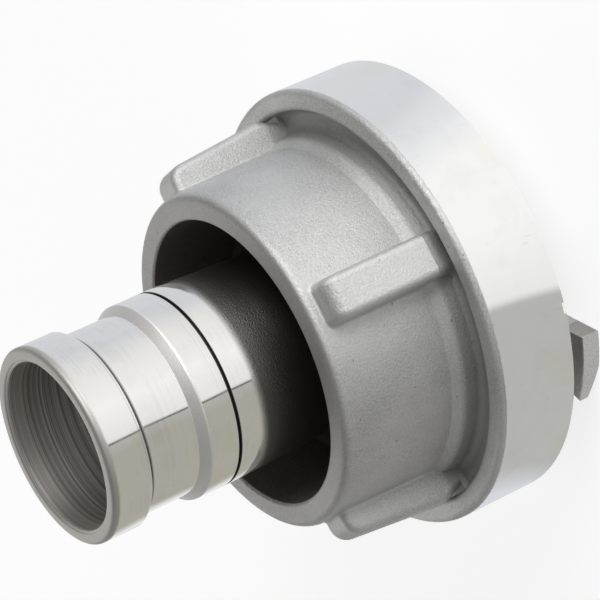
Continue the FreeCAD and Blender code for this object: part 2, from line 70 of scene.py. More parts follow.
# Painted reflection: tones that the floor glows with only where the turned metal mirrors it, in
# place of pale paper, a white card and a grey card that are not in the scene. Each is given from
# an angle round the coupling, in degrees. The band mirrors the near ring of the floor and the
# tail the far ring, where a painted dark gap lies between the two painted cards.
PALE_REFLECTION = "DADCE2"
WHITE_REFLECTION = "FFFFFF"
REFLECTION_EDGE = "F0F0F0"
GREY_REFLECTION = "BABAB8"
WARM_REFLECTION = "B0AEA6"
DARK_REFLECTION_GAP = "34343A"
NEAR_REFLECTION_TONES = [
    (-180.0, PALE_REFLECTION), (-65.0, PALE_REFLECTION), (-45.0, GREY_REFLECTION), (22.5, GREY_REFLECTION),
    (25.0, REFLECTION_EDGE), (50.0, WHITE_REFLECTION), (75.0, WHITE_REFLECTION), (105.0, PALE_REFLECTION),
]
FAR_REFLECTION_TONES = [
    (-180.0, PALE_REFLECTION), (-130.0, PALE_REFLECTION), (-110.0, REFLECTION_EDGE), (-90.0, WARM_REFLECTION),
    (10.0, WARM_REFLECTION), (22.0, GREY_REFLECTION), (22.5, DARK_REFLECTION_GAP), (23.5, DARK_REFLECTION_GAP),
    (24.0, REFLECTION_EDGE), (60.0, WHITE_REFLECTION), (105.0, REFLECTION_EDGE), (135.0, PALE_REFLECTION),
]


def linear(hex_colour):
    """An sRGB hex colour as the linear colour that shaders take."""
    channels = []
    for start in (0, 2, 4):
        value = int(hex_colour[start:start + 2], 16) / 255
        if value <= 0.04045:
            channels.append(value / 12.92)
        else:
            channels.append(((value + 0.055) / 1.055) ** 2.4)
    return (*channels, 1.0)


def shaded(colour, share):
    """A colour with its strength multiplied by a share, darker or paler."""
    return tuple(min(1.0, share * channel) for channel in colour[:3]) + (1.0,)


def per_mm(size):
    """The pattern scale at which a pattern repeats about every size millimetres."""
    return 1.0 / (size * MM)


def add_node(tree, kind, settings=None, inputs=None):
    """Add a shader node, set its properties, and set or link its inputs."""
    node = tree.nodes.new("ShaderNode" + kind)
    for name, value in (settings or {}).items():
        setattr(node, name, value)
    for name, value in (inputs or {}).items():
        if isinstance(value, bpy.types.NodeSocket):
            tree.links.new(value, node.inputs[name])
        else:
            node.inputs[name].default_value = value
    return node


def new_material(name):
    """A material with one surface shader, and its Object coordinates."""
    material = bpy.data.materials.new(name)
    material.use_nodes = True
    tree = material.node_tree
    tree.nodes.clear()
    surface = add_node(tree, "BsdfPrincipled")
    add_node(tree, "OutputMaterial", None, {"Surface": surface.outputs["BSDF"]})
    place = add_node(tree, "TexCoord").outputs["Object"]
    return material, tree, surface, place


def fill_surface(tree, surface, metallic, colour, rough, relief=None):
    """Give a material's shader its colour and roughness, and its relief where it has one."""
    surface.inputs["Metallic"].default_value = metallic
    tree.links.new(colour, surface.inputs["Base Color"])
    tree.links.new(rough, surface.inputs["Roughness"])
    if relief is not None:
        bump = add_node(tree, "Bump", None, {"Height": relief, "Distance": 1.0, "Strength": 1.0})
        tree.links.new(bump.outputs[0], surface.inputs["Normal"])


def within(tree, value, low, high, soft=0.08 * MM, soft_high=None):
    """1 where a value lies between low and high, 0 outside, changing softly at both."""
    if soft_high is None:
        soft_high = soft
    begins = add_node(tree, "MapRange", SMOOTH, {
        "Value": value, "From Min": low - soft, "From Max": low + soft}).outputs[0]
    ends = add_node(tree, "MapRange", SMOOTH, {
        "Value": value, "From Min": high - soft_high, "From Max": high + soft_high,
        "To Min": 1.0, "To Max": 0.0}).outputs[0]
    return add_node(tree, "Math", PRODUCT, {0: begins, 1: ends}).outputs[0]


def patches(tree, place, size, detail, roughness, low, high):
    """Patches about size millimetres across: 0 where their noise is under low, 1 over high."""
    pattern = add_node(tree, "TexNoise", None, {
        "Vector": place, "Scale": per_mm(size), "Detail": detail,
        "Roughness": roughness}).outputs["Fac"]
    return add_node(tree, "MapRange", SMOOTH, {
        "Value": pattern, "From Min": low, "From Max": high}).outputs[0]


def coat(tree, under, over, share, strength=1.0):
    """One colour laid over another, where the share says and as strongly as given."""
    cover = add_node(tree, "Math", PRODUCT, {0: share, 1: strength}).outputs[0]
    return add_node(tree, "Mix", COLOURS, {0: cover, 6: under, 7: over}).outputs[2]


def radius_and_height(tree, place):
    """The distance from the waterway's axis and the height, for patterns that run round it."""
    x, y, z = add_node(tree, "SeparateXYZ", None, {0: place}).outputs
    x_squared = add_node(tree, "Math", PRODUCT, {0: x, 1: x}).outputs[0]
    y_squared = add_node(tree, "Math", PRODUCT, {0: y, 1: y}).outputs[0]
    both = add_node(tree, "Math", {"operation": "ADD"}, {0: x_squared, 1: y_squared}).outputs[0]
    across = add_node(tree, "Math", {"operation": "SQRT"}, {0: both}).outputs[0]
    return across, z


def lathe_marks(tree, radius, height, spacing):
    """Rings round the axis, spacing millimetres apart, on a cylinder and on a face alike."""
    section = add_node(tree, "CombineXYZ", None, {0: radius, 1: height}).outputs[0]
    return add_node(tree, "TexNoise", None, {
        "Vector": section, "Scale": per_mm(spacing), "Detail": 3.0,
        "Roughness": 0.6}).outputs["Fac"]


def tail_heights(end):
    """The heights of the hose tail's steps, counted down from its end."""
    end_bead = end - 11.6 * MM
    step = end_bead - 1.0 * MM
    seat = step - 15.3 * MM
    slope = seat - 2.4 * MM
    groove_end = slope - 8.8 * MM
    groove_start = groove_end - 0.6 * MM
    return end_bead, step, seat, slope, groove_end, groove_start


class CouplingHeadSettings(bpy.types.PropertyGroup):
    """The cast head's finish."""
    cast_colour: bpy.props.FloatVectorProperty(
        name="Cast colour", description="Colour of the sand cast surface",
        subtype="COLOR", size=4, min=0.0, max=1.0, default=linear("DEDEDD"))
    band_colour: bpy.props.FloatVectorProperty(
        name="Band colour", description="Colour of the turned band and bores",
        subtype="COLOR", size=4, min=0.0, max=1.0, default=linear("F6F6F5"))
    lug_colour: bpy.props.FloatVectorProperty(
        name="Lug colour", description="Colour of the lugs, which are blasted brighter",
        subtype="COLOR", size=4, min=0.0, max=1.0, default=linear("F4F3F0"))
    # Painted shade for the channel by the lip
    channel_shade_colour: bpy.props.FloatVectorProperty(
        name="Channel colour", description="Colour of the dull skin in the channel by the lip",
        subtype="COLOR", size=4, min=0.0, max=1.0, default=linear("83827F"))
    # Painted shade for deep inside the skirt, where little light reaches
    inside_shade_colour: bpy.props.FloatVectorProperty(
        name="Inside colour",
        description="Colour of the dark skin that the core left in the skirt",
        subtype="COLOR", size=4, min=0.0, max=1.0, default=linear("948E84"))
    grain_size: bpy.props.FloatProperty(
        name="Grain", description="Size of the sand grains that the mould left",
        subtype="DISTANCE", unit="LENGTH", default=0.6 * MM, min=0.1 * MM, precision=5)
    grain_height: bpy.props.FloatProperty(
        name="Grain height", description="How far the grain stands up",
        subtype="DISTANCE", unit="LENGTH", default=0.2 * MM, min=0.0, precision=5)
    band_end: bpy.props.FloatProperty(
        name="Band end", description="Height at which the turned band stops below the lip",
        subtype="DISTANCE", unit="LENGTH", default=35.3 * MM, precision=5)


class CouplingTailSettings(bpy.types.PropertyGroup):
    """The turned hose tail: its radii, heights and finish."""
    end_height: bpy.props.FloatProperty(
        name="Hose end", description="Height of the tail's end",
        subtype="DISTANCE", unit="LENGTH", default=TAIL_HIGH.z, precision=5)
    collar_radius: bpy.props.FloatProperty(
        name="Collar radius", description="Outer radius of the front collar",
        subtype="DISTANCE", unit="LENGTH", default=TAIL_HIGH.x, precision=5)
    front_height: bpy.props.FloatProperty(
        name="Front", description="Height of the collar's front face",
        subtype="DISTANCE", unit="LENGTH", default=TAIL_LOW.z, precision=5)
    bore_radius: bpy.props.FloatProperty(
        name="Bore radius", description="Radius of the waterway",
        subtype="DISTANCE", unit="LENGTH", default=23.6 * MM, precision=5)
    bead_radius: bpy.props.FloatProperty(
        name="Bead radius", description="Radius of the two beads that hold the hose",
        subtype="DISTANCE", unit="LENGTH", default=27.6 * MM, precision=5)
    edge_break: bpy.props.FloatProperty(
        name="Edge break", description="Width of the broken edges that the lathe left",
        subtype="DISTANCE", unit="LENGTH", default=0.25 * MM, min=0.05 * MM, precision=5)
    tool_mark_depth: bpy.props.FloatProperty(
        name="Tool marks", description="Depth of the tool marks in the bore",
        subtype="DISTANCE", unit="LENGTH", default=0.035 * MM, min=0.0, precision=5)
    colour: bpy.props.FloatVectorProperty(
        name="Colour", description="Colour of the turned surface",
        subtype="COLOR", size=4, min=0.0, max=1.0, default=linear("F2F1EE"))
    satin_colour: bpy.props.FloatVectorProperty(
        name="Satin colour", description="Colour of the satin slope",
        subtype="COLOR", size=4, min=0.0, max=1.0, default=linear("F4F3F0"))
    end_colour: bpy.props.FloatVectorProperty(
        name="End colour", description="Colour of the faced and rounded hose end",
        subtype="COLOR", size=4, min=0.0, max=1.0, default=linear("C6C4BE"))
    # Painted shade for the neck inside the skirt, which stands in for the dark interior that it
    # mirrors
    neck_shade_colour: bpy.props.FloatVectorProperty(
        name="Neck colour", description="Colour of the dark grainy neck inside the skirt",
        subtype="COLOR", size=4, min=0.0, max=1.0, default=linear("7C7A78"))
    bore_colour: bpy.props.FloatVectorProperty(
        name="Bore colour", description="Colour of the dull surface in the bore",
        subtype="COLOR", size=4, min=0.0, max=1.0, default=linear("F6F2EC"))


class CouplingSmallSettings(bpy.types.PropertyGroup):
    """The finish of the snap ring and the seal."""
    steel_colour: bpy.props.FloatVectorProperty(
        name="Steel colour", description="Colour of the spring steel",
        subtype="COLOR", size=4, min=0.0, max=1.0, default=linear("8C8F94"))
    rubber_colour: bpy.props.FloatVectorProperty(
        name="Rubber colour", description="Colour of the seal",
        subtype="COLOR", size=4, min=0.0, max=1.0, default=linear("1E1E1F"))


class CouplingStageSettings(bpy.types.PropertyGroup):
    """The floor, the lamps and the camera."""
    floor_colour: bpy.props.FloatVectorProperty(
        name="Floor colour", description="Colour of the paper that the coupling stands on",
        subtype="COLOR", size=4, min=0.0, max=1.0, default=linear("B4B4B4"))
    paper_glow: bpy.props.FloatProperty(
        name="Paper glow", description="How much light the paper adds, so that it looks white",
        default=0.75, min=0.0)
    key_power: bpy.props.FloatProperty(
        name="Key light", description="Power of the soft box on the bright side",
        default=7.0, min=0.0)
    top_power: bpy.props.FloatProperty(
        name="Top light", description="Power of the soft box that the upward faces mirror",
        default=2.6, min=0.0)
    room_level: bpy.props.FloatProperty(
        name="Room light", description="Level of the light from overhead",
        default=0.2, min=0.0)
    wall_level: bpy.props.FloatProperty(
        name="Wall light", description="Level of the light from the pale walls",
        default=0.36, min=0.0)
    lens: bpy.props.FloatProperty(
        name="Lens", description="Focal length of the camera",
        subtype="DISTANCE_CAMERA", unit="CAMERA", default=204.0, min=20.0)


def head_material(look):
    """Sand cast aluminium with turned faces.

    The mould's sand leaves a dull grey grain, and the lathe leaves bright rings on the band,
    the ledge and the pocket. Real sand grains and the lathe's feed are too fine to show in the
    render, so both are drawn coarser.
    """
    material, tree, surface, place = new_material("sand_cast_aluminium")
    radius, height = radius_and_height(tree, place)

    # The cast skin begins along a ragged edge, so the band's end wanders up and down
    wander = add_node(tree, "TexNoise", None, {
        "Vector": place, "Scale": per_mm(1.6), "Detail": 4.0, "Roughness": 0.7}).outputs["Fac"]
    lowest = add_node(tree, "Math", {"operation": "ADD"}, {0: height, 1: -0.45 * MM}).outputs[0]
    ragged = add_node(tree, "Math", {"operation": "MULTIPLY_ADD"}, {
        0: wander, 1: 0.9 * MM, 2: lowest}).outputs[0]

    def ring(inner, outer, low, high, level=height):
        """1 within a ring of the head, 0 outside it."""
        return add_node(tree, "Math", PRODUCT, {
            0: within(tree, radius, inner, outer), 1: within(tree, level, low, high)}).outputs[0]

    # Inner and outer radius, lowest and highest point of what the lathe has cut
    rim_and_ledge = ring(51.8 * MM, BEYOND, 12.1 * MM, 25.6 * MM)
    band = ring(61.0 * MM, BEYOND, 12.6 * MM, look.band_end, ragged)
    pocket = ring(37.0 * MM, 44.2 * MM, 12.3 * MM, 45.3 * MM)
    outer_turned = add_node(tree, "Math", LARGER, {0: rim_and_ledge, 1: band}).outputs[0]
    turned = add_node(tree, "Math", LARGER, {0: outer_turned, 1: pocket}).outputs[0]

    # Parts of the cast skin that look different: the lugs, and painted shade deep in the skirt,
    # on the skirt's end face and in the channel between the root and the lip
    inside = ring(20.0 * MM, 40.75 * MM, 45.0 * MM, 75.4 * MM)
    skirt_end_shade = within(tree, height, 75.3 * MM, BEYOND, 0.5 * MM)
    lugs = within(tree, height, -BEYOND, 11.8 * MM, 0.1 * MM)
    channel = add_node(tree, "Math", PRODUCT, {
        0: within(tree, radius, 49.6 * MM, 57.5 * MM, 0.3 * MM),
        1: within(tree, height, -BEYOND, 39.2 * MM, 1.2 * MM)}).outputs[0]

    grain = add_node(tree, "TexNoise", None, {
        "Vector": place, "Scale": 1.0 / look.grain_size, "Detail": 3.0,
        "Roughness": 0.7}).outputs["Fac"]
    rings = lathe_marks(tree, radius, height, 0.7)
    speckle = patches(tree, place, 0.45, 2.0, 0.6, 0.35, 0.65)
    pits = patches(tree, place, 1.9, 2.0, 0.5, 0.72, 0.78)
    clouds = patches(tree, place, 28, 3.0, 0.55, 0.3, 0.7)
    worn = patches(tree, place, 9, 4.0, 0.6, 0.45, 0.75)
    oxide = patches(tree, place, 24, 2.0, 0.5, 0.5, 0.68)
    drawn_out = add_node(tree, "Mapping", None, {
        "Vector": place, "Scale": (1.0, 1.0, 0.3)}).outputs[0]
    scratches = patches(tree, drawn_out, 2.2, 3.0, 0.6, 0.66, 0.76)

    cast = coat(tree, look.cast_colour, shaded(look.cast_colour, 0.82), clouds, 0.4)
    # Painted shade: the skirt's upward end face is coloured darker, as if less light fell on it
    cast = coat(tree, cast, linear("BDBCB9"), skirt_end_shade, 0.85)
    cast = coat(tree, cast, look.lug_colour, lugs)
    sandy = add_node(tree, "Mix", VALUES, {0: clouds, 2: 0.12, 3: 0.32}).outputs[0]
    cast = coat(tree, cast, linear("7C7B78"), speckle, sandy)
    cast = coat(tree, cast, linear("3A3937"), pits, 0.5)
    # Painted shade: the channel between the root and the lip is coloured darker where the lip
    # shades the recess, which also dims the key light's highlight on the root's rounding
    cast = coat(tree, cast, look.channel_shade_colour, channel, 0.45)
    # Painted shade: deep inside the skirt the cast is coloured dark, where little light reaches
    cast = coat(tree, cast, look.inside_shade_colour, inside)
    bright = coat(tree, look.band_colour, shaded(look.band_colour, 0.86), worn, 0.35)
    bright = coat(tree, bright, linear("F1EEDA"), oxide, 0.35)
    bright = coat(tree, bright, linear("B4B4B6"), scratches, 0.15)
    colour = coat(tree, cast, bright, turned)

    cast_rough = add_node(tree, "MapRange", SMOOTH, {
        "Value": grain, "From Min": 0.3, "From Max": 0.7,
        "To Min": 0.54, "To Max": 0.68}).outputs[0]
    cast_rough = add_node(tree, "Mix", VALUES, {0: lugs, 2: cast_rough, 3: 0.32}).outputs[0]
    turned_rough = add_node(tree, "MapRange", SMOOTH, {
        "Value": rings, "From Min": 0.3, "From Max": 0.7,
        "To Min": 0.08, "To Max": 0.12}).outputs[0]
    rough = add_node(tree, "Mix", VALUES, {0: turned, 2: cast_rough, 3: turned_rough}).outputs[0]

    cast_relief = add_node(tree, "Math", PRODUCT, {0: grain, 1: look.grain_height}).outputs[0]
    turned_relief = add_node(tree, "Math", PRODUCT, {0: rings, 1: 0.004 * MM}).outputs[0]
    relief = add_node(tree, "Mix", VALUES, {
        0: turned, 2: cast_relief, 3: turned_relief}).outputs[0]
    fill_surface(tree, surface, 1.0, colour, rough, relief)
    return material


def tail_material(look):
    """Turned aluminium.

    The lathe leaves a bright surface with fine rings. The end and the slope are satin, the
    neck inside the skirt is grainy and painted dark as shade, and the bore is duller with the
    tool's feed showing. The groove and the strip beside the fine step are painted dark as shade.
    The real feed is too fine to show in the render, so the rings are drawn coarser.
    """
    material, tree, surface, place = new_material("turned_aluminium")
    radius, height = radius_and_height(tree, place)
    end = look.end_height
    _, step, seat, slope, groove_end, groove_start = tail_heights(end)
    rings = lathe_marks(tree, radius, height, 0.6)
    broad_rings = lathe_marks(tree, radius, height, 3.0)
    bore_rings = lathe_marks(tree, radius, height, 0.35)

    # Where each surface lies. The edges that the lathe broke belong to the satin and to the
    # painted shade of the groove and the crease.
    edge = look.edge_break
    in_bore = add_node(tree, "Math", PRODUCT, {
        0: within(tree, radius, -BEYOND, look.bore_radius + 0.375 * MM, 0.125 * MM),
        1: within(tree, height, 55 * MM, BEYOND, 5 * MM)}).outputs[0]
    not_in_bore = add_node(tree, "Math", {"operation": "SUBTRACT"}, {
        0: 1.0, 1: in_bore}).outputs[0]
    end_face = add_node(tree, "Math", PRODUCT, {
        0: within(tree, height, end - 1.95 * MM, BEYOND, 0.45 * MM), 1: not_in_bore}).outputs[0]
    neck = add_node(tree, "Math", PRODUCT, {
        0: within(tree, height, -BEYOND, end - 47.25 * MM, 1.75 * MM),
        1: not_in_bore}).outputs[0]
    satin_slope = within(tree, height, slope - edge - 0.2 * MM, seat + 0.1 * MM)
    # Painted shade: the groove and the strip beside the fine step are coloured dark where shade
    # falls in the recess and under the step's edge
    groove = within(tree, height, groove_start - edge, groove_end + edge, 0.04 * MM)
    crease = within(tree, height, step - 1.1 * MM, step + 0.05 * MM, 0.4 * MM, 0.05 * MM)
    groove_and_crease_shade = add_node(tree, "Math", LARGER, {0: groove, 1: crease}).outputs[0]

    # Pale oxide sits mostly on the side that looks along +X
    side = add_node(tree, "VectorMath", {"operation": "DOT_PRODUCT"}, {
        0: place, 1: (1.0, 0.05, 0.0)}).outputs["Value"]
    on_side = add_node(tree, "MapRange", SMOOTH, {
        "Value": side, "From Min": 22.5 * MM, "From Max": 25.0 * MM, "To Min": 0.15}).outputs[0]
    oxide = add_node(tree, "Math", PRODUCT, {
        0: patches(tree, place, 17, 3.0, 0.55, 0.5, 0.66), 1: on_side}).outputs[0]
    fine_streaks = add_node(tree, "MapRange", SMOOTH, {
        "Value": rings, "From Min": 0.4, "From Max": 0.6}).outputs[0]
    streaks = add_node(tree, "Math", PRODUCT, {
        0: fine_streaks, 1: patches(tree, place, 9, 3.0, 0.6, 0.42, 0.62)}).outputs[0]
    feed = add_node(tree, "MapRange", SMOOTH, {
        "Value": bore_rings, "From Min": 0.35, "From Max": 0.65}).outputs[0]

    outside = coat(tree, look.colour, shaded(look.colour, 0.88), streaks, 0.6)
    outside = coat(tree, outside, linear("EDE9D2"), oxide, 0.4)
    outside = coat(tree, outside, look.satin_colour, satin_slope)
    outside = coat(tree, outside, look.end_colour, end_face)
    # Painted shade: the neck inside the skirt is coloured dark in place of the dark interior that
    # it mirrors
    outside = coat(tree, outside, look.neck_shade_colour, neck)
    # Painted shade in the groove and beside the fine step
    outside = coat(tree, outside, linear("5E5C58"), groove_and_crease_shade)
    bore = coat(tree, look.bore_colour, shaded(look.bore_colour, 0.42), feed)
    colour = coat(tree, outside, bore, in_bore)

    satin = add_node(tree, "Math", LARGER, {0: satin_slope, 1: end_face}).outputs[0]
    dull = add_node(tree, "Math", LARGER, {0: satin, 1: groove_and_crease_shade}).outputs[0]
    rough = add_node(tree, "MapRange", SMOOTH, {
        "Value": broad_rings, "From Min": 0.3, "From Max": 0.7,
        "To Min": 0.04, "To Max": 0.09}).outputs[0]
    for share, level in ((dull, 0.58), (neck, 0.36), (in_bore, 0.5)):
        rough = add_node(tree, "Mix", VALUES, {0: share, 2: rough, 3: level}).outputs[0]

    ring_height = add_node(tree, "Mix", VALUES, {
        0: in_bore, 2: 0.004 * MM, 3: 0.035 * MM}).outputs[0]
    sparkle = add_node(tree, "TexNoise", None, {
        "Vector": place, "Scale": per_mm(0.45)}).outputs["Fac"]
    sparkle_height = add_node(tree, "Math", PRODUCT, {0: neck, 1: 0.09 * MM}).outputs[0]
    neck_relief = add_node(tree, "Math", PRODUCT, {0: sparkle, 1: sparkle_height}).outputs[0]
    relief = add_node(tree, "Math", {"operation": "MULTIPLY_ADD"}, {
        0: rings, 1: ring_height, 2: neck_relief}).outputs[0]
    fill_surface(tree, surface, 1.0, colour, rough, relief)
    return material


def spring_steel_material(look):
    """Spring steel: rolled wire, grey with a thin dark scale."""
    material, tree, surface, place = new_material("spring_steel")
    scale = patches(tree, place, 1.5, 4.0, 0.6, 0.4, 0.7)
    colour = coat(tree, look.steel_colour, shaded(look.steel_colour, 0.55), scale)
    rough = add_node(tree, "MapRange", SMOOTH, {
        "Value": scale, "To Min": 0.32, "To Max": 0.48}).outputs[0]
    fill_surface(tree, surface, 1.0, colour, rough)
    return material


def rubber_material(look):
    """EPDM rubber: moulded, matt black with a faint bloom."""
    material, tree, surface, place = new_material("epdm_rubber")
    bloom = patches(tree, place, 6, 4.0, 0.6, 0.45, 0.75)
    colour = coat(tree, look.rubber_colour, shaded(look.rubber_colour, 2.2), bloom, 0.5)
    rough = add_node(tree, "MapRange", SMOOTH, {
        "Value": bloom, "To Min": 0.6, "To Max": 0.78}).outputs[0]
    skin = add_node(tree, "TexNoise", None, {
        "Vector": place, "Scale": per_mm(0.5)}).outputs["Fac"]
    relief = add_node(tree, "Math", PRODUCT, {0: skin, 1: 0.02 * MM}).outputs[0]
    fill_surface(tree, surface, 0.0, colour, rough, relief)
    return material


def paint_node(node_name, material):
    """Give a CAD node its finish."""
    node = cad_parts[node_name]
    for index in range(len(node.material_slots)):
        node.material_slots[index].material = material


def select_nothing():
    """Deselect every object, because an operator acts on all that is selected."""
    bpy.ops.object.select_all(action="DESELECT")


def on_circle(vertex, radius, height):
    """True for a vertex on the circle of that radius and height."""
    slack = 0.004 * MM
    across = math.hypot(vertex.co.x, vertex.co.y)
    return abs(across - radius) < slack and abs(vertex.co.z - height) < slack


def turn_outline(name, outline):
    """A closed outline of (radius, height) turned round the axis, one ring after the other."""
    select_nothing()
    radius, height = outline[0]
    bpy.ops.mesh.primitive_circle_add(vertices=RING_STEPS, radius=radius, fill_type="NOTHING",
                                      location=(0.0, 0.0, height))
    piece = bpy.context.object
    piece.name = piece.data.name = name
    bpy.ops.object.transform_apply(location=True, rotation=True, scale=True)
    bpy.ops.object.mode_set(mode="EDIT")
    bpy.ops.mesh.select_all(action="SELECT")
    for next_radius, next_height in outline[1:]:
        rise = (0.0, 0.0, next_height - height)
        bpy.ops.mesh.extrude_edges_move(TRANSFORM_OT_translate={"value": rise})
        share = next_radius / radius
        bpy.ops.transform.resize(value=(share, share, 1.0),
                                 center_override=(0.0, 0.0, next_height))
        radius, height = next_radius, next_height
    mesh = bmesh.from_edit_mesh(piece.data)
    mesh.verts.ensure_lookup_table()
    for index in range(RING_STEPS):
        mesh.verts[index].select = True
    mesh.select_flush(True)
    bmesh.update_edit_mesh(piece.data)
    bpy.ops.mesh.bridge_edge_loops()
    bpy.ops.mesh.select_all(action="SELECT")
    bpy.ops.mesh.normals_make_consistent(inside=False)
    bpy.ops.object.mode_set(mode="OBJECT")
    return piece


def round_rings(piece, rings, width, steps):
    """Bevel the circles at each (radius, height) of a turned piece."""
    bpy.ops.object.mode_set(mode="EDIT")
    bpy.ops.mesh.select_mode(type="EDGE")
    bpy.ops.mesh.select_all(action="DESELECT")
    mesh = bmesh.from_edit_mesh(piece.data)
    for edge in mesh.edges:
        for radius, height in rings:
            if all(on_circle(vertex, radius, height) for vertex in edge.verts):
                edge.select = True
    mesh.select_flush_mode()
    bmesh.update_edit_mesh(piece.data)
    bpy.ops.mesh.bevel(offset=width, segments=steps, affect="EDGES")
    bpy.ops.object.mode_set(mode="OBJECT")


def finish_piece(piece, material, body, slot, *nodes):
    """Smooth a new piece, give it its finish, and let it stand for its CAD nodes."""
    select_nothing()
    piece.select_set(True)
    bpy.context.view_layer.objects.active = piece
    bpy.ops.object.shade_smooth_by_angle(angle=math.radians(32))
    piece.data.materials.clear()
    piece.data.materials.append(material)
    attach(piece, body)
    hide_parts(*nodes)


class CastHead(bpy.types.Operator):
    """Give the head its sand cast and turned surfaces"""
    bl_idname = "coupling.cast_head"
    bl_label = "Cast head"

    def execute(self, context):
        paint_node("lug_ring", head_material(context.scene.coupling_head))
        return {"FINISHED"}


class HoseTail(bpy.types.Operator):
    """Turn the hose tail, with its beads, its grooves and the tool marks in its bore"""
    bl_idname = "coupling.hose_tail"
    bl_label = "Hose tail"

    def execute(self, context):
        look = context.scene.coupling_tail
        end, front = look.end_height, look.front_height
        bore, bead, collar = look.bore_radius, look.bead_radius, look.collar_radius
        journal = collar - 5.6 * MM
        collar_back = front + 23.1 * MM
        snap_front = collar_back + 8.6 * MM
        snap_back = snap_front + 2.5 * MM
        snap_floor = journal - 0.9 * MM
        journal_end = snap_back + 2.3 * MM
        flare_end = front + 48.1 * MM
        end_bead, step, seat, slope, groove_end, groove_start = tail_heights(end)
        bead_start = groove_end - 4.9 * MM
        groove_floor = bead - 0.9 * MM
        seat_radius = bore + 1.9 * MM
        step_radius = bore + 3.1 * MM
        mouth = collar - 10.1 * MM
        seal_in, seal_out = collar - 7.6 * MM, collar - 2.2 * MM
        seal_floor = front + 7.0 * MM
        tube = bore + 2.8 * MM
        narrow_end, narrow_start = front + 45.2 * MM, front + 35.3 * MM
        chamfer = 0.8 * MM
        bore_tool_marks = self.tool_marks(bore, end - 1.6 * MM, narrow_end + 3.2 * MM,
                                          look.tool_mark_depth)
        outline = [
            (mouth, front),
            (seal_in, front),
            (seal_in, seal_floor),
            (seal_out, seal_floor),
            (seal_out, front),
            (collar - chamfer, front),
            (collar, front + chamfer),
            (collar, collar_back),
            (journal, collar_back),
            (journal, snap_front),
            (snap_floor, snap_front),
            (snap_floor, snap_back),
            (journal, snap_back),
            (journal, journal_end),
            (tube, flare_end),
            (bead, bead_start),
            (bead, groove_start),
            (groove_floor, groove_start),
            (groove_floor, groove_end),
            (bead, groove_end),
            (bead, slope),
            (seat_radius, seat),
            (seat_radius, step),
            (step_radius, step),
            (step_radius, end_bead),
            (bead, end_bead),
            (bead, end),
            (bore + chamfer, end),
            (bore, end - chamfer),
            *bore_tool_marks,
            (bore, narrow_end),
            (mouth, narrow_start),
        ]
        piece = turn_outline("hose_tail_turned", outline)
        round_rings(piece, [(tube, flare_end), (bore, narrow_end), (mouth, narrow_start)],
                    2.2 * MM, 8)
        round_rings(piece, [(bead, end)], 1.3 * MM, 6)
        broken = [(collar, collar_back), (journal, journal_end), (bead, groove_start),
                  (bead, groove_end), (bead, slope), (step_radius, step), (bead, end_bead),
                  (bore + chamfer, end)]
        round_rings(piece, broken, look.edge_break, 3)
        finish_piece(piece, tail_material(look), "tail_assembly", "hose_tail", "hose_tail")
        return {"FINISHED"}

    def tool_marks(self, bore, high, low, depth):
        """Shallow rings down the bore, at the uneven spacing and depth of a roughing cut."""
        marks = []
        height = high
        count = 0
        while height > low:
            width = (0.5 + 0.35 * math.sin(count * 2.4) ** 2) * MM
            deep = depth * (0.35 + 0.65 * abs(math.sin(count * 1.7)))
            marks.append((bore, height))
            marks.append((bore + deep, height - 0.3 * width))
            height -= 2.2 * width
            count += 1
        return marks


class SnapRing(bpy.types.Operator):
    """Give the snap ring its spring steel"""
    bl_idname = "coupling.snap_ring"
    bl_label = "Snap ring"

    def execute(self, context):
        paint_node("snap_ring", spring_steel_material(context.scene.coupling_small))
        return {"FINISHED"}


class LipSeal(bpy.types.Operator):
    """Give the seal its rubber"""
    bl_idname = "coupling.lip_seal"
    bl_label = "Lip seal"

    def execute(self, context):
        paint_node("lip_seal", rubber_material(context.scene.coupling_small))
        return {"FINISHED"}


def aim(thing, place, target, up):
    """Put a lamp or the camera at a place, looking at a target."""
    back = (Vector(place) - Vector(target)).normalized()
    right = Vector(up).cross(back).normalized()
    above = back.cross(right)
    turn = Matrix((right, above, back)).transposed()
    thing.matrix_world = Matrix.Translation(Vector(place)) @ turn.to_4x4()


def soft_box(name, place, target, size, power):
    """A square area lamp."""
    lamp = bpy.data.lights.new(name, "AREA")
    lamp.shape = "SQUARE"
    lamp.size = size
    lamp.energy = power
    holder = bpy.data.objects.new(name, lamp)
    bpy.context.scene.collection.objects.link(holder)
    aim(holder, place, target, (0.0, 0.0, 1.0))
    return holder


